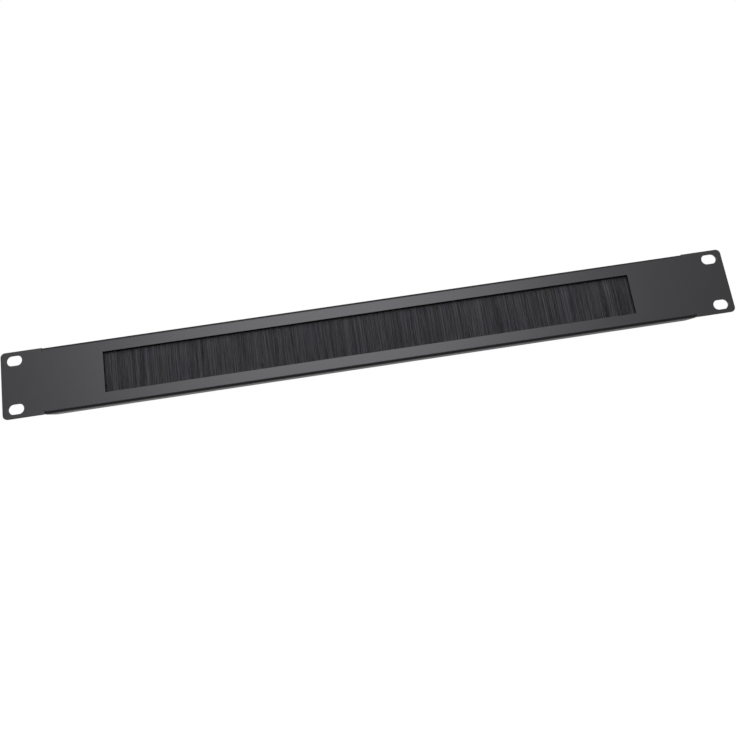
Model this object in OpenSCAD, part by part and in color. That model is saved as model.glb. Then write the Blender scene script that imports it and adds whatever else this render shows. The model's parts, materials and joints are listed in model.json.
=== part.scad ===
// Rack brush strip panel: a folded steel cover one rack unit high, with a long
// opening that a curtain of nylon bristles closes. The brush strip lies behind
// the opening's upper edge, and a folded rail clamps it with two welded studs.
// X runs along the panel, the front face looks along -Y, and +Z is up.
// The origin is the centre of the four rack slots, on the front face.

/* [Panel] */
// Overall width across both ears
panel_w = 482.6; // [460:0.1:560]
// Height of the panel
panel_h = 43.66; // [42:0.01:60]
// Thickness of the steel sheet
sheet_t = 1.5; // [1:0.1:2]
// Radius of the ears' outer corners
corner_r = 3; // [0.5:0.5:6]
// Inner radius of the two long folds
bend_r = 0.5; // [0.3:0.1:1]

/* [Rack slots] */
// Distance from a slot's centre to the panel's side
slot_edge = 8.75; // [6:0.05:12]
// Distance between the upper and lower slots
slot_pitch_z = 31.75; // [20:0.05:32]
// Length of a slot from end to end
slot_len = 10.3; // [7:0.1:14]
// Width of a slot
slot_w = 6.8; // [5:0.1:7]

/* [Opening] */
// Width of the opening
opening_w = 350.5; // [200:0.5:380]
// Height of the opening
opening_h = 26.5; // [15:0.5:28]

/* [Flanges] */
// Distance from the panel's side to the flange's end
ear_w = 26.8; // [16:0.1:29]
// Depth of the flanges, measured from the front face
flange_depth = 8; // [7.8:0.1:20]
// Corner cut at each end of a flange
flange_chamfer = 5; // [1:0.5:5.5]
// Width of the relief slit at each end of a fold
relief_w = 0.5; // [0.3:0.1:2]
// Depth of the relief slit past the fold
relief_over = 0.5; // [0.2:0.1:2]

/* [Brush strip] */
// Length of the brush strip past each end of the opening
brush_over = 5; // [2:0.5:6]
// Depth of the crimped channel from front to back
channel_w = 4.9; // [4.6:0.1:5]
// Height of the crimped channel
channel_h = 5.2; // [4.8:0.1:6]
// Thickness of the channel's wall
channel_t = 0.6; // [0.4:0.05:0.65]
// Outer radius of the channel's back corners
channel_r = 1.2; // [0.8:0.1:1.6]
// Height of the crimped lips at the channel's mouth
lip_h = 0.6; // [0.3:0.1:1]
// Diameter of the core wire
wire_d = 1; // [0.6:0.1:1.4]
// Thickness of the bristle pack below the channel
pack_t = 3; // [2:0.1:3.2]
// Length of bristle that laps behind the panel below the opening
tip_lap = 4.5; // [1:0.5:6]

/* [Bristle tufts] */
// Width of one tuft; the back tufts stand half a tuft to the side
tuft_pitch = 6.1; // [6:0.1:12]
// Ridges across the front of one tuft
front_ridges = 8; // [2:2:10]
// Ridges across the back of one tuft
back_ridges = 6; // [2:2:8]
// Depth of the grooves between ridges
ridge_depth = 0.3; // [0.1:0.05:0.5]
// Half the width of a gap between two tufts, at the tips
gap_half = 0.3; // [0.1:0.05:0.35]
// Most that one tuft's tip is shorter than the longest
tip_ragged = 0.8; // [0.2:0.1:1.5]

/* [Clamp rail] */
// Thickness of the rail's sheet
rail_t = 1; // [0.6:0.1:1.4]
// Inner radius of the rail's folds
rail_r = 0.5; // [0.3:0.1:0.8]
// Height of a fixing tab
tab_h = 11; // [9:0.5:14]
// Radius of a tab's outer corners
tab_corner_r = 2; // [0.5:0.5:3]
// Distance from a stud to the end of its tab
tab_end = 6; // [4:0.5:8]
// Distance from the rail's step to the stud
stud_inset = 7.5; // [6.5:0.5:9]

/* [Studs and nuts] */
// Thread diameter of the weld studs
stud_d = 3; // [2.5:0.1:3.2]
// Length of a stud behind the panel
stud_len = 6; // [5.8:0.1:10]
// Diameter of a stud's welded flange
stud_flange_d = 4; // [3.6:0.1:5]
// Thickness of a stud's welded flange
stud_flange_t = 0.8; // [0.4:0.1:0.9]
// Diameter of a flat washer
washer_d = 7; // [6:0.1:8]
// Thickness of a flat washer
washer_t = 0.5; // [0.3:0.1:0.8]
// Diameter of a spring washer
spring_d = 5.9; // [5:0.1:6.5]
// Thickness of a spring washer
spring_t = 0.8; // [0.5:0.1:1]
// Width across the flats of a nut
nut_af = 5.5; // [4.8:0.1:6]
// Height of a nut
nut_h = 2.4; // [1.6:0.1:3]

/* [Clearances] */
// Gap between the rail and the upper flange
rail_gap = 0.2; // [0.1:0.05:0.5]
// Gap between the brush strip's ends and the rail's steps
strip_gap = 1; // [0.5:0.1:2]
// Gap round the bristles and the wire inside the channel
crimp_gap = 0.05; // [0.02:0.01:0.1]
// Gap round a stud in its nut and washers
thread_gap = 0.05; // [0.02:0.01:0.15]
// Gap round a stud's flange in the rail's tab
tab_gap = 0.3; // [0.1:0.05:0.5]

/* [Hidden] */
$fn = 48;
eps = 0.01;
bend_out = bend_r + sheet_t;
flange_in_z = panel_h / 2 - sheet_t;
slot_pitch_x = panel_w - 2 * slot_edge;
slot_straight = slot_len - slot_w;
flange_len = panel_w - 2 * ear_w;

brush_len = opening_w + 2 * brush_over;
rail_top = flange_in_z - rail_gap;
channel_top = rail_top - rail_t;
channel_bot = channel_top - channel_h;
channel_mid_y = sheet_t + channel_w / 2;
channel_back_y = sheet_t + channel_w;
channel_in = channel_w / 2 - channel_t;
root_r = channel_in - crimp_gap;
wire_z = channel_top - channel_t - crimp_gap - root_r;

// Bristles: tufts share the strip's length, and are cut to ragged tips
tip_z = -opening_h / 2 - tip_lap;
free_len = channel_bot - tip_z;
tuft_count = floor(brush_len / tuft_pitch);
tuft_w = brush_len / tuft_count;
root_half = pack_t / 2 - ridge_depth;
root_dip = 1;
root_end = 0.3;
leg_lap = 0.2;
rise_range = [0.25, 0.9];
width_range = [0.3, 1];

// Clamp rail: an angle over the channel that steps forward at both ends
rail_out = rail_r + rail_t;
rail_back_y = channel_back_y + rail_t;
rail_front_y = sheet_t + bend_r;
step_x = brush_len / 2 + strip_gap;
neck_relief = 0.4;
neck_top = rail_top - rail_out - neck_relief;
angle_half = step_x - rail_r - neck_relief;
stud_x = step_x + stud_inset;
tab_x = stud_x + tab_end;
tab_top = flange_in_z - bend_r - neck_relief;
stud_z = tab_top - tab_h / 2;

// Fastener stack, from the panel's back face outwards
tab_back_y = sheet_t + rail_t;
washer_back_y = tab_back_y + washer_t;
spring_back_y = washer_back_y + spring_t;
stud_chamfer = 0.4;
nut_chamfer = 0.35;
spring_split = 0.7;

coat_black = [0.10, 0.10, 0.11];
nylon_black = [0.05, 0.05, 0.06];
zinc_grey = [0.72, 0.73, 0.75];
bright_steel = [0.80, 0.80, 0.81];

// A flat outline in Y and Z, run along X and centred
module along_x(len) {
    translate([-len / 2, 0, 0]) rotate([90, 0, 90]) linear_extrude(len) children();
}

// A flat outline in X and Z, with its front at y and a thickness towards the back
module plate(y, t) {
    translate([0, y + t, 0]) rotate([90, 0, 0]) linear_extrude(t) children();
}

// A round pillar along Y, from y0 to y1
module pillar(d, y0, y1) {
    translate([0, y0, 0]) rotate([-90, 0, 0]) cylinder(d = d, h = y1 - y0);
}

// A quarter of a ring: a fold seen from its end, in the quadrant of +x and +y
module quarter_ring(r_in, r_out) {
    intersection() {
        difference() {
            circle(r_out);
            circle(r_in);
        }
        square(r_out);
    }
}

// A rectangle from the two corners given, whose right corners are round
module right_round_rect(x0, z0, x1, z1, r) {
    translate([x0, z0]) square([x1 - r - x0, z1 - z0]);
    translate([x0, z0 + r]) square([x1 - x0, z1 - z0 - 2 * r]);
    for (z = [z0 + r, z1 - r]) translate([x1 - r, z]) circle(r);
}

module both_ends() {
    children();
    mirror([1, 0, 0]) children();
}

// ---- Panel: one folded sheet ----

// Section of the folded stretch: the web with a flange at the top and bottom
module folded_section() {
    web_h = panel_h - 2 * bend_out;
    translate([0, -web_h / 2]) square([sheet_t, web_h]);
    for (s = [1, -1]) scale([1, s]) {
        translate([bend_out, web_h / 2]) mirror([1, 0]) quarter_ring(bend_r, bend_out);
        translate([bend_out, flange_in_z]) square([flange_depth - bend_out, sheet_t]);
    }
}

// Wedge that cuts the corner off a flange's end
module flange_corner() {
    half = flange_len / 2;
    translate([0, 0, -panel_h]) linear_extrude(2 * panel_h) polygon([
        [half + eps, flange_depth - flange_chamfer - eps],
        [half + eps, flange_depth + eps],
        [half - flange_chamfer - eps, flange_depth + eps]
    ]);
}

module rack_slot() {
    for (s = [-1, 1]) translate([s * slot_straight / 2, 0]) circle(d = slot_w);
    square([slot_straight, slot_w], center = true);
}

// Right ear, with its slots and the slits that end both folds
module ear() {
    half = flange_len / 2;
    plate(0, sheet_t) difference() {
        right_round_rect(half, -panel_h / 2, panel_w / 2, panel_h / 2, corner_r);
        for (s = [-1, 1]) {
            translate([slot_pitch_x / 2, s * slot_pitch_z / 2]) rack_slot();
            scale([1, s]) translate([half - eps, panel_h / 2 - bend_out - relief_over])
                square([relief_w + eps, bend_out + relief_over + eps]);
        }
    }
}

module panel() {
    color(coat_black) difference() {
        union() {
            difference() {
                along_x(flange_len) folded_section();
                both_ends() flange_corner();
            }
            both_ends() ear();
        }
        plate(-sheet_t, 3 * sheet_t) square([opening_w, opening_h], center = true);
    }
}

// ---- Brush strip ----

// Section of the channel's hollow, open at the crimped mouth
module channel_hollow() {
    mouth = pack_t / 2 + crimp_gap;
    in_r = channel_r - channel_t;
    straight_top = channel_h - channel_t - in_r;
    polygon([
        [-mouth, -eps], [mouth, -eps], [mouth, lip_h],
        [channel_in, lip_h + channel_in - mouth], [channel_in, straight_top],
        [-channel_in, straight_top], [-channel_in, lip_h + channel_in - mouth],
        [-mouth, lip_h]
    ]);
    translate([-channel_in + in_r, straight_top - eps])
        square([2 * (channel_in - in_r), in_r + eps]);
    for (s = [-1, 1]) translate([s * (channel_in - in_r), straight_top]) circle(in_r);
}

module brush_channel() {
    top = channel_h - channel_r;
    color(zinc_grey) translate([0, channel_mid_y, channel_bot]) along_x(brush_len) difference() {
        union() {
            translate([-channel_w / 2, 0]) square([channel_w, top]);
            translate([-channel_w / 2 + channel_r, 0])
                square([channel_w - 2 * channel_r, channel_h]);
            for (s = [-1, 1]) translate([s * (channel_w / 2 - channel_r), top])
                circle(channel_r);
        }
        channel_hollow();
    }
}

module core_wire() {
    color(bright_steel) translate([0, channel_mid_y, wire_z])
        along_x(brush_len) circle(d = wire_d);
}

// Section of one leg of the folded pack, seen from above: ridges on its outer
// side, and a flat inner side that laps the other leg. s is -1 for the front leg.
module leg_section(s, ridges, seed) {
    count = tuft_count * ridges;
    w = brush_len / count;
    end = brush_len / 2;
    lower = rands(0, 0.4, count, seed);
    outer = [
        for (i = [0 : count - 1]) each [
            [i * w - end, s * root_half],
            [(i + 0.5) * w - end, s * (pack_t / 2 - ridge_depth * lower[i])]
        ]
    ];
    polygon(concat(outer, [[end, s * root_half], [end, -s * leg_lap], [-end, -s * leg_lap]]));
}

// Front outline of one leg: tufts with ragged tips and a tapering gap between
// each two. shift moves the gaps sideways, in tufts.
module leg_outline(shift, seed) {
    end = brush_len / 2;
    gaps = shift == 0 ? tuft_count - 1 : tuft_count;
    drop = rands(0, tip_ragged, 2 * gaps + 2, seed);
    rise = rands(rise_range[0], rise_range[1], gaps, seed + 1);
    half = rands(width_range[0] * gap_half, width_range[1] * gap_half, gaps, seed + 2);
    notches = [
        for (i = [0 : gaps - 1])
            let (x = (i + 1 - shift) * tuft_w - end) each [
                [x - half[i], tip_z + drop[2 * i + 1]],
                [x, tip_z + free_len * rise[i]],
                [x + half[i], tip_z + drop[2 * i + 2]]
            ]
    ];
    polygon(concat(
        [[end, tip_z + drop[2 * gaps + 1]], [end, channel_bot], [-end, channel_bot],
         [-end, tip_z + drop[0]]],
        notches
    ));
}

module leg(s, ridges, shift, seed) {
    intersection() {
        translate([0, 0, tip_z - eps])
            linear_extrude(free_len + 2 * eps) leg_section(s, ridges, seed);
        plate(-pack_t, 2 * pack_t) leg_outline(shift, seed + 1);
    }
}

// Section of the root: the filaments fold over the core wire inside the channel
module root_section() {
    neck_z = channel_bot + lip_h;
    difference() {
        union() {
            translate([0, wire_z]) circle(root_r);
            translate([-root_half, channel_bot - root_dip])
                square([2 * root_half, wire_z - channel_bot + root_dip]);
        }
        translate([0, wire_z]) circle(d = wire_d + 2 * crimp_gap);
    }
}

module bristles() {
    color(nylon_black) translate([0, channel_mid_y, 0]) {
        leg(-1, front_ridges, 0, 11);
        leg(1, back_ridges, 0.5, 37);
        along_x(brush_len - 2 * root_end) root_section();
    }
}

// ---- Clamp rail ----

// Section of the rail's angle: a back leg and a top leg
module angle_section() {
    bend_z = rail_top - rail_out;
    translate([channel_back_y, channel_bot]) square([rail_t, bend_z - channel_bot]);
    translate([rail_back_y - rail_out, bend_z]) quarter_ring(rail_r, rail_out);
    translate([rail_front_y, channel_top])
        square([rail_back_y - rail_out - rail_front_y, rail_t]);
}

// Plan of the right end: the neck, the step forward and the start of the tab
module step_plan() {
    web_front = tab_back_y + rail_r;
    web_back = channel_back_y - rail_r;
    tab_start = step_x + rail_t + rail_r;
    translate([angle_half - 1, channel_back_y]) square([step_x - rail_r - angle_half + 1, rail_t]);
    translate([step_x - rail_r, web_back]) quarter_ring(rail_r, rail_out);
    translate([step_x, web_front]) square([rail_t, web_back - web_front]);
    translate([tab_start, web_front]) rotate(180) quarter_ring(rail_r, rail_out);
}

module clamp_rail() {
    tab_start = step_x + rail_t + rail_r;
    color(zinc_grey) {
        along_x(2 * angle_half) angle_section();
        both_ends() {
            translate([0, 0, channel_bot]) linear_extrude(neck_top - channel_bot) step_plan();
            plate(sheet_t, rail_t) difference() {
                right_round_rect(tab_start, tab_top - tab_h, tab_x, tab_top, tab_corner_r);
                translate([stud_x, stud_z]) circle(d = stud_flange_d + 2 * tab_gap);
            }
        }
    }
}

// ---- Studs, washers and nuts ----

module at_studs() {
    for (s = [-1, 1]) translate([s * stud_x, 0, stud_z]) children();
}

module weld_studs() {
    end_y = sheet_t + stud_len;
    color(bright_steel) at_studs() {
        pillar(stud_flange_d, sheet_t, sheet_t + stud_flange_t);
        pillar(stud_d, sheet_t, end_y - stud_chamfer);
        translate([0, end_y - stud_chamfer, 0]) rotate([-90, 0, 0])
            cylinder(d1 = stud_d, d2 = stud_d - 2 * stud_chamfer, h = stud_chamfer);
    }
}

module washer_ring(d, y0, y1) {
    difference() {
        pillar(d, y0, y1);
        pillar(stud_d + 2 * thread_gap, y0 - eps, y1 + eps);
    }
}

module flat_washers() {
    color(zinc_grey) at_studs() washer_ring(washer_d, tab_back_y, washer_back_y);
}

// A split ring, drawn as it lies when the nut has flattened it
module spring_washers() {
    color(bright_steel) at_studs() difference() {
        washer_ring(spring_d, washer_back_y, spring_back_y);
        translate([-spring_split / 2, washer_back_y - eps, 0])
            cube([spring_split, spring_t + 2 * eps, spring_d]);
    }
}

// Half section of the turned body that takes a nut's corners off at 30 degrees
module turned_section(r) {
    wide = r + 2 * nut_chamfer;
    rise = 2 * nut_chamfer * tan(30);
    polygon([[0, 0], [r, 0], [wide, rise], [wide, nut_h - rise], [r, nut_h], [0, nut_h]]);
}

module hex_nuts() {
    corner_r = nut_af / 2 / cos(30);
    color(zinc_grey) at_studs() translate([0, spring_back_y, 0]) difference() {
        rotate([-90, 0, 0]) intersection() {
            cylinder(r = corner_r, h = nut_h, $fn = 6);
            rotate_extrude() turned_section(corner_r - nut_chamfer);
        }
        pillar(stud_d + 2 * thread_gap, -eps, nut_h + eps);
    }
}

panel();
brush_channel();
core_wire();
bristles();
clamp_rail();
weld_studs();
flat_washers();
spring_washers();
hex_nuts();
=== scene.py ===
import json
import math

import bmesh
import bpy
from mathutils import Matrix, Vector

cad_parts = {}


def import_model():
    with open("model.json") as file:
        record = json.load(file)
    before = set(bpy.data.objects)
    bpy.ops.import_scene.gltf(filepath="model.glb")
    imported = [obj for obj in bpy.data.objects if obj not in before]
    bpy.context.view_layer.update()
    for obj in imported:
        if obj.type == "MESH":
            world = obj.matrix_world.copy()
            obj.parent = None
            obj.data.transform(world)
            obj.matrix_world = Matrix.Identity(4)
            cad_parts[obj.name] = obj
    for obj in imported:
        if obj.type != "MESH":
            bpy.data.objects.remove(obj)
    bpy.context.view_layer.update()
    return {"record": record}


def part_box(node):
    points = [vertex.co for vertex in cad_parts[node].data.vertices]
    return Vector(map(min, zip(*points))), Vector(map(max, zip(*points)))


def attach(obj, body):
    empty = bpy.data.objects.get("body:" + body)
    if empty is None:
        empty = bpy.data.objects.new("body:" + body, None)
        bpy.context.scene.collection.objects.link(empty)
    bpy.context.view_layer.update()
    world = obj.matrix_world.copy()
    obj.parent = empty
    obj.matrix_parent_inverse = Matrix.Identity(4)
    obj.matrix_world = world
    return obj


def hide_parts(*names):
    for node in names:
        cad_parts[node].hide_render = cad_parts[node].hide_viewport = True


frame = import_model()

# Looks of the rack brush strip panel: the folded and coated sheet, its nylon curtain, and
# behind the sheet the crimped channel, the clamp rail, the weld studs and their fixings.
# Every length is in metres. X runs along the panel, the front face looks along -Y.

MM = 0.001
QUARTER = math.pi / 2

# ---- Sizes, taken from the frame where it holds them ----

panel_low, panel_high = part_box("panel")
PANEL_W = panel_high.x - panel_low.x
PANEL_H = panel_high.z - panel_low.z
FLANGE_DEPTH = panel_high.y - panel_low.y
SHEET_T = 1.5 * MM
BEND_R = 0.5 * MM
CORNER_R = 3 * MM
EAR_W = 26.8 * MM
FLANGE_CHAMFER = 5 * MM
RELIEF_W = 0.5 * MM
RELIEF_OVER = 0.5 * MM
OPENING_W = 350.5 * MM
OPENING_H = 26.5 * MM
# The coat rounds the sheet's rims, and powder gathers in the relief slits and all but closes them
COAT_RIM = 0.2 * MM
COAT_T = 0.12 * MM
SLIT_COAT = 0.2 * MM

slots = next(m for m in frame["record"]["mounts"] if m["name"] == "rack_slots")["dims"]

channel_low, channel_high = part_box("brush_channel")
CHANNEL_T = 0.6 * MM
CHANNEL_R = 1.2 * MM
CHANNEL_RIM = 0.08 * MM
LIP_H = 0.6 * MM
LIP_R = 0.25 * MM
channel_mid_y = (channel_low.y + channel_high.y) / 2
channel_half = (channel_high.y - channel_low.y) / 2
channel_inner = channel_half - CHANNEL_T

rail_low, rail_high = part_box("clamp_rail")
RAIL_T = 1 * MM
RAIL_R = 0.5 * MM
RAIL_RIM = 0.12 * MM
TAB_H = 11 * MM
TAB_CORNER_R = 2 * MM
TAB_HOLE_D = 4.6 * MM
NECK_RELIEF = 0.4 * MM
STRIP_GAP = 1 * MM

stud_low, stud_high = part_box("weld_studs")
STUD_FLANGE_D = 4 * MM
STUD_FLANGE_T = 0.8 * MM
STUD_D = 3 * MM
THREAD_PITCH = 0.5 * MM
THREAD_DEPTH = 0.28 * MM
BORE_R = STUD_D / 2 + 0.05 * MM
NUT_CHAMFER = 0.35 * MM
WASHER_RIM = 0.09 * MM
SPRING_RIM = 0.08 * MM
SPRING_SPLIT = 0.7 * MM
stud_x = stud_high.x - STUD_FLANGE_D / 2
stud_z = (stud_low.z + stud_high.z) / 2

wire_low, wire_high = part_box("core_wire")
wire_r = (wire_high.z - wire_low.z) / 2
wire_z = (wire_low.z + wire_high.z) / 2
strip_mid_y = (wire_low.y + wire_high.y) / 2
strip_half = wire_high.x

tips_low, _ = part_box("bristles")
PACK_T = 3 * MM
MOUTH_PLAY = 0.05 * MM
END_GAP = 0.3 * MM
FILAMENT_D = 0.3 * MM
FILAMENTS = 3900
FREE_LENGTH = channel_low.z - tips_low.z
# Near the channel little light reaches the filaments, so their colour is painted black there as
# shade:
# painted shade above this height, fading out to their own shade where the fade ends below it
PAINTED_SHADE_Z = OPENING_H / 2 + 0.2 * MM
PAINTED_SHADE_FADE = 1.1 * MM


# ---- Node trees ----

class Term:
    """A node's output that can stand in a sum: each operator adds its Math node."""

    def __init__(self, graph, socket):
        self.graph, self.socket = graph, socket

    def _math(self, operation, *terms):
        return self.graph.node("ShaderNodeMath", {"operation": operation}, dict(enumerate(terms)))

    def __add__(self, other):
        return self._math("ADD", self, other)

    def __radd__(self, other):
        return self._math("ADD", other, self)

    def __sub__(self, other):
        return self._math("SUBTRACT", self, other)

    def __rsub__(self, other):
        return self._math("SUBTRACT", other, self)

    def __mul__(self, other):
        return self._math("MULTIPLY", self, other)

    def __rmul__(self, other):
        return self._math("MULTIPLY", other, self)

    def __truediv__(self, other):
        return self._math("DIVIDE", self, other)

    def __pow__(self, other):
        return self._math("POWER", self, other)

    def __gt__(self, other):
        return self._math("GREATER_THAN", self, other)

    def apply(self, operation, *others):
        """Any other Math operation, such as SINE, MINIMUM or FRACT."""
        return self._math(operation, self, *others)

    def limited(self):
        """The value, kept between 0 and 1."""
        return self.apply("MAXIMUM", 0.0).apply("MINIMUM", 1.0)

    def out(self, name):
        """Another output of the same node."""
        return Term(self.graph, self.socket.node.outputs[name])


class Graph:
    """One node tree that is filled by calls of node()."""

    def __init__(self, tree):
        self.tree = tree

    def node(self, kind, settings=None, values=None, output=0):
        """Adds a node of that type, sets its settings, then its sockets, and returns one output.
        The setting captures names the numbers that a Capture Attribute node keeps."""
        node = self.tree.nodes.new(kind)
        for key, value in (settings or {}).items():
            if key == "captures":
                for name in value:
                    node.capture_items.new("FLOAT", name)
            else:
                setattr(node, key, value)
        for key, value in (values or {}).items():
            target = self._input(node, key)
            if isinstance(value, Term):
                self.tree.links.new(value.socket, target)
            else:
                target.default_value = value
        if not node.outputs:
            return None
        if isinstance(output, int):
            output = [s.name for s in node.outputs if s.enabled][output]
        return Term(self, next(s for s in node.outputs if s.name == output and s.enabled))

    @staticmethod
    def _input(node, key):
        if isinstance(key, int):
            return node.inputs[key]
        return next(s for s in node.inputs if s.name == key and s.enabled)


# ---- Materials ----

def grey(value):
    return (value, value, value, 1)


class Finish(Graph):
    """A material with one Principled surface. Patterns are laid on Object coordinates."""

    def __init__(self, name):
        self.material = bpy.data.materials.new(name)
        self.material.use_nodes = True
        super().__init__(self.material.node_tree)
        self.shader = self.tree.nodes["Principled BSDF"]
        self.place = self.node("ShaderNodeTexCoord").out("Object")

    def set(self, **values):
        for key, value in values.items():
            target = self.shader.inputs[key.replace("_", " ")]
            if isinstance(value, Term):
                self.tree.links.new(value.socket, target)
            else:
                target.default_value = value

    def stretched(self, scale):
        """The Object coordinates, scaled by three factors."""
        return self.node(
            "ShaderNodeVectorMath", {"operation": "MULTIPLY"}, {0: self.place, 1: scale}
        )

    def noise(self, size, detail=2, stretch=(1, 1, 1)):
        """Noise whose grains are about this size, as a number around 0.5."""
        return self.node(
            "ShaderNodeTexNoise", {},
            {"Vector": self.stretched(stretch), "Scale": 1 / size, "Detail": detail},
        )

    def mix(self, factor, low, high):
        """A colour between two, by a number."""
        return self.node(
            "ShaderNodeMix", {"data_type": "RGBA"}, {"Factor": factor, "A": low, "B": high}
        )

    def bump(self, height, depth):
        """Feeds the surface's normal from a height of 0 to 1 and the depth it stands for."""
        self.set(Normal=self.node("ShaderNodeBump", {}, {"Height": height, "Distance": depth}))


def powder_coat():
    """Satin black coat with a fine orange peel."""
    coat = Finish("powder_coat")
    peel = coat.noise(1.1 * MM, detail=2)
    cloud = coat.noise(18 * MM, detail=1)
    coat.set(
        Base_Color=coat.mix(cloud, (0.0055, 0.0055, 0.0062, 1), (0.0068, 0.0068, 0.0078, 1)),
        Roughness=0.36 + 0.05 * peel,
        IOR=1.42,
    )
    coat.bump(peel, 0.012 * MM)
    return coat.material


def nylon_bristle():
    """Black nylon filaments, each of a slightly different shade, in batches of warm and cold,
    with painted shade near the channel and painted light and shade in streaks.
    """
    nylon = Finish("nylon_bristle")
    shade = nylon.node("ShaderNodeAttribute", {"attribute_name": "shade"}).out("Fac")
    height = nylon.node("ShaderNodeSeparateXYZ", {}, {0: nylon.place}, "Z")
    # Painted shade: the colour goes black towards the channel, where little light reaches
    out_of_painted_shade = ((PAINTED_SHADE_Z - height) / PAINTED_SHADE_FADE).limited()
    batch = nylon.mix(
        nylon.noise(16 * MM, detail=1), (0.047, 0.047, 0.037, 1), (0.039, 0.037, 0.058, 1)
    )
    nylon.set(
        Base_Color=nylon.mix(shade * out_of_painted_shade, (0.0022, 0.0022, 0.0026, 1), batch),
        Roughness=0.36 + 0.12 * shade,
        IOR=1.4,
    )
    return nylon.material


def zinc_plate():
    """Bright zinc with a faint blue passivation and fine rolling lines."""
    zinc = Finish("zinc_plate")
    cloud = zinc.noise(7 * MM, detail=3)
    lines = zinc.noise(0.5 * MM, detail=3, stretch=(0.05, 1, 1))
    zinc.set(
        Base_Color=zinc.mix(cloud, (0.56, 0.58, 0.62, 1), (0.68, 0.68, 0.66, 1)),
        Metallic=1.0,
        Roughness=0.26 + 0.14 * cloud,
    )
    zinc.bump(lines, 0.004 * MM)
    return zinc.material


def galvanised_steel():
    """Hot-dip zinc whose crystals each reflect a little differently."""
    steel = Finish("galvanised_steel")
    crystal = steel.node(
        "ShaderNodeTexVoronoi", {}, {"Vector": steel.place, "Scale": 1 / (3.2 * MM)}, "Color"
    )
    share = steel.node("ShaderNodeSeparateColor", {}, {"Color": crystal}, "Red")
    grain = steel.noise(0.6 * MM, detail=2)
    steel.set(
        Base_Color=steel.mix(share, (0.42, 0.44, 0.46, 1), (0.60, 0.61, 0.62, 1)),
        Metallic=1.0,
        Roughness=0.32 + 0.2 * share,
    )
    steel.bump(grain, 0.006 * MM)
    return steel.material


def drawn_wire():
    """Bright steel with drawing marks along its length."""
    wire = Finish("drawn_wire")
    marks = wire.noise(0.12 * MM, detail=2, stretch=(0.02, 1, 1))
    wire.set(
        Base_Color=wire.mix(marks, (0.50, 0.50, 0.50, 1), (0.68, 0.67, 0.66, 1)),
        Metallic=1.0,
        Roughness=0.24 + 0.16 * marks,
    )
    wire.bump(marks, 0.005 * MM)
    return wire.material


def coppered_steel():
    """Thin copper flash over steel, paler in patches."""
    copper = Finish("coppered_steel")
    cloud = copper.noise(1.4 * MM, detail=3)
    copper.set(
        Base_Color=copper.mix(cloud, (0.72, 0.36, 0.22, 1), (0.60, 0.40, 0.30, 1)),
        Metallic=1.0,
        Roughness=0.26 + 0.2 * cloud,
    )
    copper.bump(copper.noise(0.2 * MM), 0.004 * MM)
    return copper.material


def blackened_steel():
    """Oiled black oxide on spring steel."""
    black = Finish("blackened_steel")
    cloud = black.noise(1.1 * MM, detail=3)
    black.set(
        Base_Color=black.mix(cloud, (0.030, 0.030, 0.033, 1), (0.085, 0.080, 0.078, 1)),
        Metallic=0.85,
        Roughness=0.36 + 0.2 * cloud,
    )
    black.bump(black.noise(0.25 * MM), 0.006 * MM)
    return black.material


# ---- Mesh helpers ----

SHARP = math.radians(50)
# Points this near each other are one point
TOUCHING = 1e-7
# The ways that a sheet runs into a fold, and the ways that the fold turns
ALONG_X, ALONG_Z = 0, 2
BACK, FRONT = 1, -1


def arc(x, z, radius, start, end, steps):
    """Points of an arc in that many steps, with its angles in degrees from X towards Z."""
    angles = [math.radians(start + (end - start) * i / steps) for i in range(steps + 1)]
    return [(x + radius * math.cos(a), z + radius * math.sin(a)) for a in angles]


def circle(x, z, radius, points):
    """A full circle: an arc that ends one point before its start."""
    return arc(x, z, radius, 0, 360 - 360 / points, points - 1)


def mirrored(quarter):
    """The closed outline whose upper right quarter is given, from the top to the right."""
    lower = [(x, -z) for x, z in reversed(quarter)]
    right = quarter + lower
    return right + [(-x, z) for x, z in reversed(right)]


def plate(loops, depth, rim):
    """A plate with holes. The first loop is its outline in X and Z, it reaches from y = 0 to
    its depth, and its front and back rims are rounded."""
    bm = bmesh.new()
    for loop in loops:
        corners = [bm.verts.new((x, 0, z)) for x, z in loop]
        for a, b in zip(corners, corners[1:] + corners[:1]):
            bm.edges.new((a, b))
    bmesh.ops.triangle_fill(bm, use_beauty=True, edges=bm.edges[:])
    raised = bmesh.ops.extrude_face_region(bm, geom=bm.faces[:], use_keep_orig=True)["geom"]
    moved = [part for part in raised if isinstance(part, bmesh.types.BMVert)]
    bmesh.ops.translate(bm, verts=moved, vec=(0, depth, 0))
    bmesh.ops.recalc_face_normals(bm, faces=bm.faces[:])
    rims = [
        edge for edge in bm.edges
        if edge.calc_face_angle(0) > SHARP
        and abs(edge.verts[0].co.y - edge.verts[1].co.y) < depth / 2
    ]
    bmesh.ops.bevel(bm, geom=rims, offset=rim, segments=3, profile=0.5, affect="EDGES")
    return bm


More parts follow.
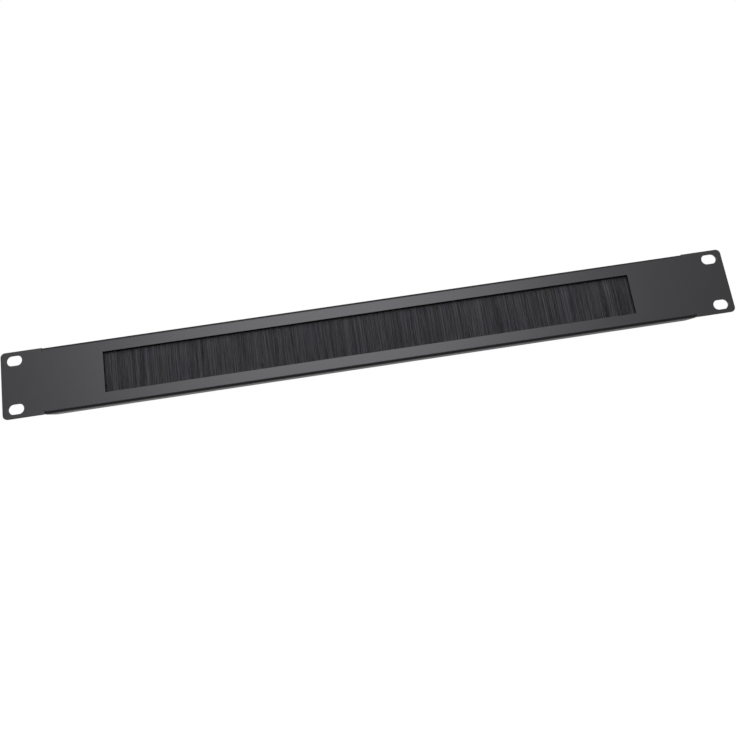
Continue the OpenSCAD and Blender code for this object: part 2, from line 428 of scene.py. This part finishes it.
def bend(bm, axis, start, side, towards, sheet, radius, within=None, steps=8):
    """Folds a flat stretch through a right angle. axis is ALONG_X or ALONG_Z; side is 1 or -1,
    the way that the sheet leaves the fold at start; towards is BACK or FRONT; sheet holds the
    sheet's front and back y before the fold. within keeps the fold to this distance from the
    middle, along X."""
    inner_y = sheet[1] if towards == BACK else sheet[0]
    centre_y = inner_y + towards * radius
    fold = bend_length(radius, sheet[1] - sheet[0])
    normal = Vector((1, 0, 0)) if axis == ALONG_X else Vector((0, 0, 1))
    for i in range(steps + 1):
        cut = normal * (start + side * fold * i / steps)
        bmesh.ops.bisect_plane(
            bm, geom=bm.verts[:] + bm.edges[:] + bm.faces[:], dist=TOUCHING / 10, plane_co=cut,
            plane_no=normal,
        )
    for vertex in bm.verts:
        run = side * (vertex.co[axis] - start)
        if run <= 0 or (within is not None and abs(vertex.co.x) >= within):
            continue
        turn = min(run / fold, 1) * QUARTER
        reach = towards * (centre_y - vertex.co.y)
        vertex.co[axis] = start + side * reach * math.sin(turn)
        vertex.co.y = centre_y - towards * (reach * math.cos(turn) - max(run - fold, 0))


def bend_length(radius, thickness):
    """Flat length that a right-angled fold takes up, at the middle of the sheet."""
    return (radius + thickness / 2) * QUARTER


def turned(section, sweep=360, first=0, steps=48, shape=None):
    """A body of revolution about Y, over sweep degrees from first. section is a closed loop of
    (radius, y), or an open one that starts and ends on the axis. shape may change a radius
    and y by the angle."""
    bm = bmesh.new()
    whole = sweep == 360
    count = steps if whole else steps + 1
    rings = []
    for i in range(count):
        angle = math.radians(first + sweep * i / steps)
        points = [shape(*point, angle) for point in section] if shape else section
        rings.append([
            bm.verts.new((r * math.cos(angle), y, r * math.sin(angle))) for r, y in points
        ])
    closed = section[0][0] > 0
    last = len(section) if closed else len(section) - 1
    for i in range(count if whole else count - 1):
        near, far = rings[i], rings[(i + 1) % count]
        for j in range(last):
            k = (j + 1) % len(section)
            bm.faces.new((near[j], near[k], far[k], far[j]))
    if not whole:
        bm.faces.new(rings[0])
        bm.faces.new(rings[-1])
    bmesh.ops.remove_doubles(bm, verts=bm.verts[:], dist=TOUCHING)
    bmesh.ops.recalc_face_normals(bm, faces=bm.faces[:])
    return bm


def copies(bm, places):
    """The mesh repeated at each place, as one mesh."""
    single = bpy.data.meshes.new("single")
    bm.to_mesh(single)
    bm.free()
    joined = bmesh.new()
    for place in places:
        before = len(joined.verts)
        joined.from_mesh(single)
        joined.verts.ensure_lookup_table()
        bmesh.ops.translate(joined, verts=joined.verts[before:], vec=place)
    bpy.data.meshes.remove(single)
    return joined


def finished(obj):
    """Puts the modifiers' result in the object's own mesh."""
    depsgraph = bpy.context.evaluated_depsgraph_get()
    mesh = bpy.data.meshes.new_from_object(obj.evaluated_get(depsgraph))
    obj.modifiers.clear()
    old, obj.data = obj.data, mesh
    mesh.name = obj.name
    bpy.data.meshes.remove(old)
    return obj


def piece(name, bm, material):
    """Makes a smooth shaded object whose flat faces stay flat up to their round rims."""
    mesh = bpy.data.meshes.new(name)
    bm.to_mesh(mesh)
    bm.free()
    mesh.materials.append(material)
    mesh.shade_smooth()
    mesh.set_sharp_from_angle(angle=SHARP)
    obj = bpy.data.objects.new(name, mesh)
    bpy.context.scene.collection.objects.link(obj)
    obj.modifiers.new("Weighted", "WEIGHTED_NORMAL").keep_sharp = True
    return finished(obj)


def declare(obj, slot, *nodes):
    """Hangs the piece on the root body and hides the frame's parts that it stands for. The slot,
    its finish, is not used.
    """
    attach(obj, "root")
    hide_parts(*nodes)


# ---- Panel ----

def rack_slot(x, z):
    """Outline of one slot with round ends, a coat's thickness inside the cut."""
    cut_r = slots["hole_r_mm"] * MM
    straight = slots["slot_length_mm"] * MM / 2 - cut_r
    coated_r = cut_r - COAT_T
    right = arc(x + straight, z, coated_r, -90, 90, 24)
    return right + arc(x - straight, z, coated_r, 90, 270, 24)


def panel_sheet():
    """The flat blank is cut out and rounded first, and its two flanges are folded last."""
    half_w, half_h = PANEL_W / 2, PANEL_H / 2
    flange_end = half_w - EAR_W
    bend_out = BEND_R + SHEET_T
    fold_z = half_h - bend_out
    slit = RELIEF_W - 2 * SLIT_COAT
    flange_top = fold_z + bend_length(BEND_R, SHEET_T) + FLANGE_DEPTH - bend_out
    quarter = [
        (flange_end - FLANGE_CHAMFER, flange_top),
        (flange_end, flange_top - FLANGE_CHAMFER),
        (flange_end, fold_z - RELIEF_OVER),
        (flange_end + slit, fold_z - RELIEF_OVER),
        (flange_end + slit, half_h),
        *arc(half_w - CORNER_R, half_h - CORNER_R, CORNER_R, 90, 0, 12),
    ]
    opening = mirrored([(OPENING_W / 2, OPENING_H / 2)])
    holes = [
        rack_slot(x * slots["spacing_x_mm"] * MM / 2, z * slots["spacing_y_mm"] * MM / 2)
        for x in (-1, 1) for z in (-1, 1)
    ]
    bm = plate([mirrored(quarter), opening, *holes], SHEET_T, COAT_RIM)
    for side in (1, -1):
        bend(bm, ALONG_Z, side * fold_z, side, BACK, (0, SHEET_T), BEND_R,
             within=flange_end + slit / 4)
    return bm


# ---- Clamp rail ----

def clamp_rail():
    """An angle whose back leg steps forward at both ends into a tab that lies on the sheet."""
    back_y = rail_high.y - RAIL_T
    tab_y = rail_low.y
    fold = bend_length(RAIL_R, RAIL_T)
    step_x = strip_half + STRIP_GAP - RAIL_R
    web = back_y - tab_y - RAIL_T - 2 * RAIL_R
    second_x = step_x + fold + web
    tab_start = second_x + fold
    # While the blank is flat, its tabs lie this much further out
    unfolded = tab_start - (step_x + 2 * RAIL_R + RAIL_T)
    tab_end = rail_high.x + unfolded
    angle_end = step_x - NECK_RELIEF
    low_z = channel_low.z
    fold_z = rail_high.z - RAIL_R - RAIL_T
    neck_z = fold_z - NECK_RELIEF
    top_z = fold_z + fold + back_y - RAIL_R - (SHEET_T + BEND_R)
    tab_low = rail_low.z
    tab_high = tab_low + TAB_H
    right = [
        (angle_end, top_z), (angle_end, neck_z), (tab_start, neck_z),
        (tab_start, tab_high),
        *arc(tab_end - TAB_CORNER_R, tab_high - TAB_CORNER_R, TAB_CORNER_R, 90, 0, 8),
        *arc(tab_end - TAB_CORNER_R, tab_low + TAB_CORNER_R, TAB_CORNER_R, 0, -90, 8),
        (tab_start, tab_low), (tab_start, low_z),
    ]
    outline = right + [(-x, z) for x, z in reversed(right)]
    hole_x = stud_x + unfolded
    holes = [circle(s * hole_x, stud_z, TAB_HOLE_D / 2, 24) for s in (-1, 1)]
    bm = plate([outline, *holes], RAIL_T, RAIL_RIM)
    bmesh.ops.translate(bm, verts=bm.verts[:], vec=(0, back_y, 0))
    leg = (back_y, rail_high.y)
    bend(bm, ALONG_Z, fold_z, 1, FRONT, leg, RAIL_R, within=angle_end + NECK_RELIEF / 2)
    for side in (1, -1):
        bend(bm, ALONG_X, side * second_x, side, BACK, leg, RAIL_R)
        bend(bm, ALONG_X, side * step_x, side, FRONT, leg, RAIL_R)
    return bm


# ---- Brush strip ----

def channel_section():
    """Closed outline of the crimped strip: a round-backed U whose lips close on the bristles."""
    high = channel_high.z - channel_low.z
    mouth = PACK_T / 2 + MOUTH_PLAY
    inner_r = CHANNEL_R - CHANNEL_T
    outside = [
        *arc(channel_half - LIP_R, LIP_R, LIP_R, -90, 0, 4),
        *arc(channel_half - CHANNEL_R, high - CHANNEL_R, CHANNEL_R, 0, 90, 8),
    ]
    inside = [
        *arc(channel_inner - inner_r, high - CHANNEL_R, inner_r, 90, 0, 6),
        (channel_inner, LIP_H + channel_inner - mouth), (mouth, LIP_H),
        *arc(mouth + LIP_R / 2, LIP_R / 2, LIP_R / 2, 180, 270, 3),
    ]
    return (
        outside + [(-y, z) for y, z in reversed(outside)]
        + [(-y, z) for y, z in reversed(inside)] + inside
    )


def brush_channel():
    """The section is a thick plate that is then laid along X."""
    length = channel_high.x - channel_low.x
    bm = plate([channel_section()], length, CHANNEL_RIM)
    for vertex in bm.verts:
        across, along, up = vertex.co
        vertex.co = (channel_high.x - along, channel_mid_y + across, channel_low.z + up)
    bmesh.ops.recalc_face_normals(bm, faces=bm.faces[:])
    return bm


def core_wire():
    """Straight wire with slightly rounded cut ends."""
    edge = 0.12 * MM
    length = wire_high.x - wire_low.x
    section = [
        (0, 0), (wire_r - edge, 0), (wire_r, edge), (wire_r, length - edge),
        (wire_r - edge, length), (0, length),
    ]
    bm = turned(section, steps=20)
    for vertex in bm.verts:
        vertex.co = (wire_low.x + vertex.co.y, strip_mid_y + vertex.co.x, wire_z + vertex.co.z)
    bmesh.ops.recalc_face_normals(bm, faces=bm.faces[:])
    return bm


def tree_of(name, inputs):
    """An empty Geometry Nodes tree, its graph and its named inputs."""
    tree = bpy.data.node_groups.new(name, "GeometryNodeTree")
    tree.interface.new_socket("Mesh", in_out="OUTPUT", socket_type="NodeSocketGeometry")
    for label, kind in inputs.items():
        tree.interface.new_socket(label, in_out="INPUT", socket_type="NodeSocket" + kind)
    graph = Graph(tree)
    first = graph.node("NodeGroupInput")
    return tree, graph, {label: first.out(label) for label in inputs}


def close_tree(graph, mesh, material):
    """Ends a tree in Realize Instances and Set Material."""
    real = graph.node("GeometryNodeRealizeInstances", {}, {"Geometry": mesh})
    painted = graph.node(
        "GeometryNodeSetMaterial", {}, {"Geometry": real, "Material": material}
    )
    graph.node("NodeGroupOutput", {}, {"Mesh": painted})


def grown(name, tree, values):
    """Runs a tree with these inputs and keeps the result as a plain mesh."""
    obj = bpy.data.objects.new(name, bpy.data.meshes.new(name))
    bpy.context.scene.collection.objects.link(obj)
    modifier = obj.modifiers.new("Grown", "NODES")
    modifier.node_group = tree
    for item in tree.interface.items_tree:
        if item.in_out == "INPUT":
            modifier[item.identifier] = values[item.name]
    return finished(obj)


# Points of a filament round the wire, and from the channel's mouth to its tip
LOOP_POINTS = 3
FREE_POINTS = 6
TIP_TAPER = 0.2
# How far a tip strays by itself: short of the others, aside and in depth
RAGGED = 0.8 * MM
LEAN = 0.25 * MM
SWAY = 0.15 * MM
# How far it strays with its neighbours, and the size of the noise that they share
CLUMP_WIDE, WIDE_SIZE = 1.05 * MM, 6.5 * MM
CLUMP_FINE, FINE_SIZE = 0.3 * MM, 2.1 * MM
CLUMP_DEEP, DEEP_SIZE = 0.25 * MM, 4 * MM
# Straying grows with this power of the way down
BOW = 1.15
# Reach of a filament's own wave, and the angle that it runs through on the way down
WAVE = 0.045 * MM
WAVE_ANGLE = 7.0
# The crimp holds the pack at this share of its thickness. Below the mouth it swells this
# fast, and towards the tips it closes again by the last share
PINCH = 0.5
SWELL = 6
CLOSING = 0.12
# Shades: their middle, the spread from one filament to the next (their own tone), and the streaks
# of neighbours, which are painted light and shade for clumps that catch the light and the dark
# gaps between them
SHADE_MIDDLE = 0.38
SHADE_SPREAD = 0.3
PAINTED_STREAK, PAINTED_STREAK_SIZE = 3.6, 0.5 * MM


def bristle_tree():
    """Filaments that fold over the core wire, pass the channel's mouth and hang free.

    A row of seeds lies along X. Each carries one straight line of points, which is bent into
    place by its point number: the first ones run round the wire, the rest go down to the tip.
    """
    tree, graph, given = tree_of("bristle_leg", {
        "Start": "Float", "Length": "Float", "Count": "Int", "Side": "Float", "Seed": "Int",
        "Material": "Material",
    })
    node = graph.node

    def random(low, high, salt):
        seed = node("ShaderNodeMath", {"operation": "ADD"}, {0: given["Seed"], 1: salt})
        return node(
            "FunctionNodeRandomValue", {"data_type": "FLOAT"},
            {"Min": low, "Max": high, "Seed": seed},
        )

    def noise(x, size, salt):
        """Noise along X from about -1 to 1, which is another one for each leg and half."""
        spot = node(
            "ShaderNodeCombineXYZ", {},
            {"X": x / size, "Y": given["Side"] * 7.3 + salt, "Z": given["Seed"] * 0.37},
        )
        fine = node("ShaderNodeTexNoise", {}, {"Vector": spot, "Scale": 1.0, "Detail": 1.0})
        return (fine - 0.5) * 2

    number = node("GeometryNodeInputIndex") * 1.0
    pitch = given["Length"] / given["Count"]
    seeds = node("GeometryNodePoints", {}, {
        "Count": given["Count"],
        "Position": node("ShaderNodeCombineXYZ", {}, {
            "X": given["Start"] + (number + random(0.0, 1.0, 1)) * pitch,
        }),
    })

    seed_x = node("ShaderNodeSeparateXYZ", {}, {0: node("GeometryNodeInputPosition")}, "X")
    own_shade = random(-SHADE_SPREAD, SHADE_SPREAD, 3)
    # Each filament's own tone, plus streaks shared by neighbours that are painted light and shade
    # of clumps
    tone_and_painted_streak = noise(seed_x, PAINTED_STREAK_SIZE, 31.0) * PAINTED_STREAK + own_shade + SHADE_MIDDLE
    each = {
        "x": seed_x, "layer": random(0.0, 1.0, 2), "shade": tone_and_painted_streak.limited(),
        "lean": random(-1.0, 1.0, 4), "short": random(0.0, 1.0, 5),
        "phase": random(0.0, math.tau, 6), "sway": random(-1.0, 1.0, 7),
    }
    seeds = node(
        "GeometryNodeCaptureAttribute", {"domain": "POINT", "captures": list(each)},
        {"Geometry": seeds, **each},
    )
    x, layer, shade, lean, short, phase, sway = (seeds.out(name) for name in each)

    line = node("GeometryNodeCurvePrimitiveLine", {}, {"End": (0, 0, -0.01)})
    line = node(
        "GeometryNodeResampleCurve", {},
        {"Curve": line, "Count": LOOP_POINTS + FREE_POINTS},
    )
    strands = node("GeometryNodeInstanceOnPoints", {}, {"Points": seeds, "Instance": line})
    strands = node("GeometryNodeRealizeInstances", {}, {"Geometry": strands})

    step = node("GeometryNodeSplineParameter").out("Index") * 1.0
    free = step > LOOP_POINTS - 0.5
    turn = step.apply("MINIMUM", LOOP_POINTS - 1.0) * (QUARTER / (LOOP_POINTS - 1))
    down = ((step - LOOP_POINTS) / (FREE_POINTS - 1.0)).apply("MAXIMUM", 0.0)

    ring = wire_r + FILAMENT_D + layer * (channel_inner - wire_r - 2 * FILAMENT_D)
    length = FREE_LENGTH - short * short * RAGGED
    z_loop = wire_z + ring * turn.apply("COSINE")
    z_free = channel_low.z - down * length
    z = z_loop + free * (z_free - z_loop)

    wave = (down * WAVE_ANGLE + phase).apply("SINE") * WAVE * (down.apply("MINIMUM", 0.5) * 2)
    clump = noise(x, WIDE_SIZE, 0.0) * CLUMP_WIDE + noise(x, FINE_SIZE, 11.0) * CLUMP_FINE
    x_now = x + (clump + lean * LEAN) * down ** BOW + wave
    depth_clump = noise(x, DEEP_SIZE, 23.0) * CLUMP_DEEP
    spread = layer * (1 - CLOSING * down)
    flare = PINCH + (1 - PINCH) * (down * SWELL).apply("MINIMUM", 1.0)
    y_side = ring * turn.apply("SINE")
    y_free = FILAMENT_D / 2 + spread * (PACK_T / 2 - FILAMENT_D)
    y_leg = given["Side"] * (y_side + free * (y_free * flare - y_side))
    y_now = strip_mid_y + y_leg + (depth_clump + sway * SWAY) * down
    placed = node("GeometryNodeSetPosition", {}, {
        "Geometry": strands,
        "Position": node("ShaderNodeCombineXYZ", {}, {"X": x_now, "Y": y_now, "Z": z}),
    })
    shaded = node(
        "GeometryNodeStoreNamedAttribute", {"data_type": "FLOAT", "domain": "POINT"},
        {"Geometry": placed, "Name": "shade", "Value": shade},
    )
    ring_curve = node("GeometryNodeCurvePrimitiveCircle", {}, {"Resolution": 3, "Radius": 1.0})
    tubes = node(
        "GeometryNodeCurveToMesh", {},
        {"Curve": shaded, "Profile Curve": ring_curve, "Fill Caps": True,
         "Scale": FILAMENT_D / 2 * (1 - TIP_TAPER * down)},
    )
    close_tree(graph, tubes, given["Material"])
    return tree


def bristles(material):
    """Four pieces: the front and the back leg, each in a left and a right half."""
    tree = bristle_tree()
    made = []
    reach = strip_half - END_GAP
    for leg, side in (("front", -1.0), ("back", 1.0)):
        for half, start in (("left", -reach), ("right", 0.0)):
            made.append(grown(f"bristles_{leg}_{half}", tree, {
                "Start": start, "Length": reach, "Count": FILAMENTS, "Side": side,
                "Seed": 5 + 3 * len(made), "Material": material,
            }))
    return made


# ---- Studs, washers and nuts ----

def at_studs(bm, y):
    """The mesh at both studs, moved back by y."""
    return copies(bm, [(s * stud_x, y, stud_z) for s in (-1, 1)])


# How many depths a thread's flank would fall in one pitch, and how many of them its flat
# crest takes up
FLANK_FALL = 2.6
CREST = 0.3


def thread_tree():
    """A threaded rod along Y: a fine cylinder whose wall follows the thread's profile."""
    tree, graph, given = tree_of("thread", {
        "Diameter": "Float", "Pitch": "Float", "Depth": "Float", "Length": "Float",
        "Material": "Material",
    })
    node = graph.node
    sides, rows_a_turn = 32, 8
    rod = node("GeometryNodeMeshCylinder", {"fill_type": "NGON"}, {
        "Vertices": sides, "Side Segments": given["Length"] / given["Pitch"] * rows_a_turn,
        "Radius": 1.0, "Depth": given["Length"],
    })
    x = node("ShaderNodeSeparateXYZ", {}, {0: node("GeometryNodeInputPosition")}, "X")
    y, z = x.out("Y"), x.out("Z")
    angle = y.apply("ARCTAN2", x) / math.tau
    tooth = (z / given["Pitch"] + angle).apply("FRACT")
    groove = ((tooth - 0.5).apply("ABSOLUTE") * FLANK_FALL - CREST).limited()
    end_gap = given["Length"] / 2 - z.apply("ABSOLUTE")
    taper = 1 - (end_gap / given["Depth"]).apply("MINIMUM", 1.0)
    radius = given["Diameter"] / 2 - given["Depth"] * groove.apply("MAXIMUM", taper)
    shaped = node("GeometryNodeSetPosition", {}, {
        "Geometry": rod,
        "Position": node("ShaderNodeCombineXYZ", {}, {"X": x * radius, "Y": z, "Z": y * radius}),
    })
    turned_out = node("GeometryNodeFlipFaces", {}, {0: shaped})
    close_tree(graph, turned_out, given["Material"])
    return tree


def weld_studs(material):
    """Two studs: a welded flange with a small bead, and the threaded rod."""
    base_y = stud_low.y
    edge = 0.15 * MM
    flange = turned([
        (0, 0), (STUD_FLANGE_D / 2, 0), (STUD_FLANGE_D / 2, STUD_FLANGE_T - edge),
        (STUD_FLANGE_D / 2 - edge, STUD_FLANGE_T), (STUD_D / 2 + edge, STUD_FLANGE_T),
        (STUD_D / 2 - edge, STUD_FLANGE_T + edge), (0, STUD_FLANGE_T + edge),
    ])
    studs = at_studs(flange, base_y)
    rod_start = base_y + STUD_FLANGE_T / 2
    rod = grown("rod", thread_tree(), {
        "Diameter": STUD_D, "Pitch": THREAD_PITCH, "Depth": THREAD_DEPTH,
        "Length": stud_high.y - rod_start, "Material": material,
    })
    single = bmesh.new()
    single.from_mesh(rod.data)
    bpy.data.objects.remove(rod)
    rods = at_studs(single, (rod_start + stud_high.y) / 2)
    both = bpy.data.meshes.new("rods")
    rods.to_mesh(both)
    rods.free()
    studs.from_mesh(both)
    bpy.data.meshes.remove(both)
    return studs


def ring_section(inner, outer, height, edge):
    """Section of a flat ring with small rounded edges."""
    return [
        (inner + edge, 0), (outer - edge, 0), (outer - 0.3 * edge, 0.3 * edge), (outer, edge),
        (outer, height - edge), (outer - 0.3 * edge, height - 0.3 * edge),
        (outer - edge, height), (inner + edge, height), (inner + 0.3 * edge, height - 0.3 * edge),
        (inner, height - edge), (inner, edge), (inner + 0.3 * edge, 0.3 * edge),
    ]


def flat_washers():
    low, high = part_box("flat_washers")
    outer = (high.z - low.z) / 2
    ring = turned(ring_section(BORE_R, outer, high.y - low.y, WASHER_RIM), steps=64)
    return at_studs(ring, low.y)


def spring_washers():
    """A coil's turn, squeezed flat, with its split at the top."""
    low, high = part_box("spring_washers")
    outer = (high.z - low.z) / 2
    gap = math.degrees(SPRING_SPLIT / outer)
    ring = turned(
        ring_section(BORE_R, outer, high.y - low.y, SPRING_RIM),
        sweep=360 - gap, first=90 + gap / 2, steps=56,
    )
    return at_studs(ring, low.y)


def hex_nuts():
    """Each ring of the section swells to the hexagon, and its corners are turned off."""
    low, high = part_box("hex_nuts")
    height = high.y - low.y
    flat_r = (high.z - low.z) / 2
    corner_r = flat_r / math.cos(math.radians(30))
    crown_r = corner_r - NUT_CHAMFER
    lead = 0.15 * MM

    def hexagon(radius, level, angle):
        if radius < BORE_R + 2 * lead:
            return radius, level
        part = math.degrees(angle) % 60 - 30
        face_r = flat_r / math.cos(math.radians(part))
        rise = max(face_r - crown_r, 0) * math.tan(math.radians(30))
        if level in (0, height):
            return min(crown_r, face_r), level
        return face_r, rise if level < height / 2 else height - rise

    section = [
        (BORE_R + lead, 0), (crown_r, 0), (corner_r, 0.1 * height), (corner_r, 0.9 * height),
        (crown_r, height), (BORE_R + lead, height), (BORE_R, height - lead), (BORE_R, lead),
    ]
    nut = turned(section, steps=96, shape=hexagon)
    return at_studs(nut, low.y)


# ---- Camera, floor and light ----

CAMERA_AT = Vector((-21.5, -514, -110.1)) * MM
CAMERA_AIM = Vector((1, 0, 22)) * MM
CAMERA_ROLL = -8.92
CAMERA_SHIFT_Y = -0.0924
LENS_MM = 39.13
SENSOR_MM = 36
FLOOR_Z = -0.35
FLOOR_HALF = 6
FLOOR_PALE = 0.82
FLOOR_GLOW = 0.6
# How much of the floor's glow shows in gloss: all of it would light up the flanges' undersides
GLOSS_SHARE = 0.2
CARD_GREY = 0.2
# Strength of the world where it gives light and its white isn't looked at
AMBIENT = 0.45


def aimed(obj, place, aim, roll=0.0):
    """Puts a camera or lamp at a place, looking at another, turned about its own axis."""
    look = (aim - place).normalized()
    facing = look.to_track_quat("-Z", "Y").to_matrix().to_4x4()
    turn = Matrix.Rotation(math.radians(roll), 4, -look)
    obj.matrix_world = Matrix.Translation(place) @ turn @ facing


def camera():
    data = bpy.data.cameras.new("camera")
    data.lens = LENS_MM
    data.sensor_width = SENSOR_MM
    data.shift_y = CAMERA_SHIFT_Y
    obj = bpy.data.objects.new("camera", data)
    bpy.context.scene.collection.objects.link(obj)
    aimed(obj, CAMERA_AT, CAMERA_AIM, CAMERA_ROLL)
    bpy.context.scene.camera = obj


def lamp(name, place, aim, size, watts, colour=(1, 1, 1)):
    data = bpy.data.lights.new(name, "AREA")
    data.color = colour
    data.shape = "RECTANGLE"
    data.size, data.size_y = size
    data.energy = watts
    obj = bpy.data.objects.new(name, data)
    bpy.context.scene.collection.objects.link(obj)
    obj.visible_camera = False
    aimed(obj, Vector(place), Vector(aim))


def world():
    """White where the eye or a reflection looks, and softer where it only gives light."""
    made = bpy.data.worlds.new("studio")
    bpy.context.scene.world = made
    made.use_nodes = True
    graph = Graph(made.node_tree)
    made.node_tree.nodes.clear()
    ray = graph.node("ShaderNodeLightPath")
    seen = ray.out("Is Camera Ray").apply("MAXIMUM", ray.out("Is Glossy Ray"))
    seen = seen.apply("MAXIMUM", ray.out("Is Transmission Ray"))
    sky = graph.node(
        "ShaderNodeBackground", {}, {"Color": grey(1), "Strength": AMBIENT + (1 - AMBIENT) * seen}
    )
    graph.node("ShaderNodeOutputWorld", {}, {"Surface": sky})


def staged(name, bm, finish):
    """Makes an object that the panel is shown with, and that is no part of it."""
    mesh = bpy.data.meshes.new(name)
    bm.to_mesh(mesh)
    bm.free()
    mesh.materials.append(finish.material)
    obj = bpy.data.objects.new(name, mesh)
    bpy.context.scene.collection.objects.link(obj)
    return obj


def floor():
    """Pale floor that stays white to the eye but keeps a shadow."""
    bm = bmesh.new()
    bmesh.ops.create_grid(bm, x_segments=1, y_segments=1, size=FLOOR_HALF)
    bmesh.ops.translate(bm, verts=bm.verts[:], vec=(0, 0, FLOOR_Z))
    pale = Finish("pale_floor")
    ray = pale.node("ShaderNodeLightPath")
    seen = ray.out("Is Camera Ray").apply("MAXIMUM", ray.out("Is Transmission Ray"))
    seen = seen.apply("MAXIMUM", GLOSS_SHARE * ray.out("Is Glossy Ray"))
    pale.set(
        Base_Color=grey(FLOOR_PALE), Roughness=0.9, Emission_Strength=1.0,
        Emission_Color=pale.mix(seen, grey(0), grey(FLOOR_GLOW)),
    )
    staged("floor", bm, pale)


def card(name, place, size, tilt):
    """A grey studio card: it shows in the gloss of the folds, and not to the camera."""
    bm = bmesh.new()
    bmesh.ops.create_grid(bm, x_segments=1, y_segments=1, size=0.5)
    bmesh.ops.scale(bm, verts=bm.verts[:], vec=(*size, 1))
    tilted = Matrix.Rotation(math.radians(tilt), 3, "X")
    bmesh.ops.rotate(bm, verts=bm.verts[:], matrix=tilted)
    bmesh.ops.translate(bm, verts=bm.verts[:], vec=place)
    dull = Finish(name)
    dull.set(Base_Color=grey(CARD_GREY), Roughness=1.0)
    obj = staged(name, bm, dull)
    obj.visible_camera = False
    obj.visible_shadow = False


# ---- Making it ----

camera()
world()
floor()
lamp("softbox_front", place=(-0.03, -1.53, 0.42), aim=(-0.02, 0, 0), size=(1, 0.8), watts=20.5,
     colour=(0.94, 0.93, 1))
lamp("softbox_back", place=(-0.6, 1.5, 0.7), aim=(0, 0, 0), size=(1.2, 0.8), watts=14)
card("card_low", place=(0, -0.45, -0.2), size=(1.4, 0.86), tilt=0)
card("card_high", place=(0, 0.5, 0.42), size=(1.6, 1.3), tilt=-12)

zinc = zinc_plate()
nylon = nylon_bristle()
copper = coppered_steel()
declare(piece("panel_sheet", panel_sheet(), powder_coat()), "powder_coat", "panel")
declare(piece("clamp_rail_angle", clamp_rail(), zinc), "zinc_plate", "clamp_rail")
declare(piece("channel_strip", brush_channel(), galvanised_steel()), "galvanised_steel",
        "brush_channel")
declare(piece("wire_core", core_wire(), drawn_wire()), "drawn_wire", "core_wire")
for quarter in bristles(nylon):
    declare(quarter, "nylon_bristle", "bristles")
declare(piece("studs", weld_studs(copper), copper), "coppered_steel", "weld_studs")
declare(piece("washers_flat", flat_washers(), zinc), "zinc_plate", "flat_washers")
declare(piece("washers_spring", spring_washers(), blackened_steel()), "blackened_steel",
        "spring_washers")
declare(piece("nuts", hex_nuts(), zinc), "zinc_plate", "hex_nuts")

bpy.context.scene.view_settings.view_transform = "Standard"
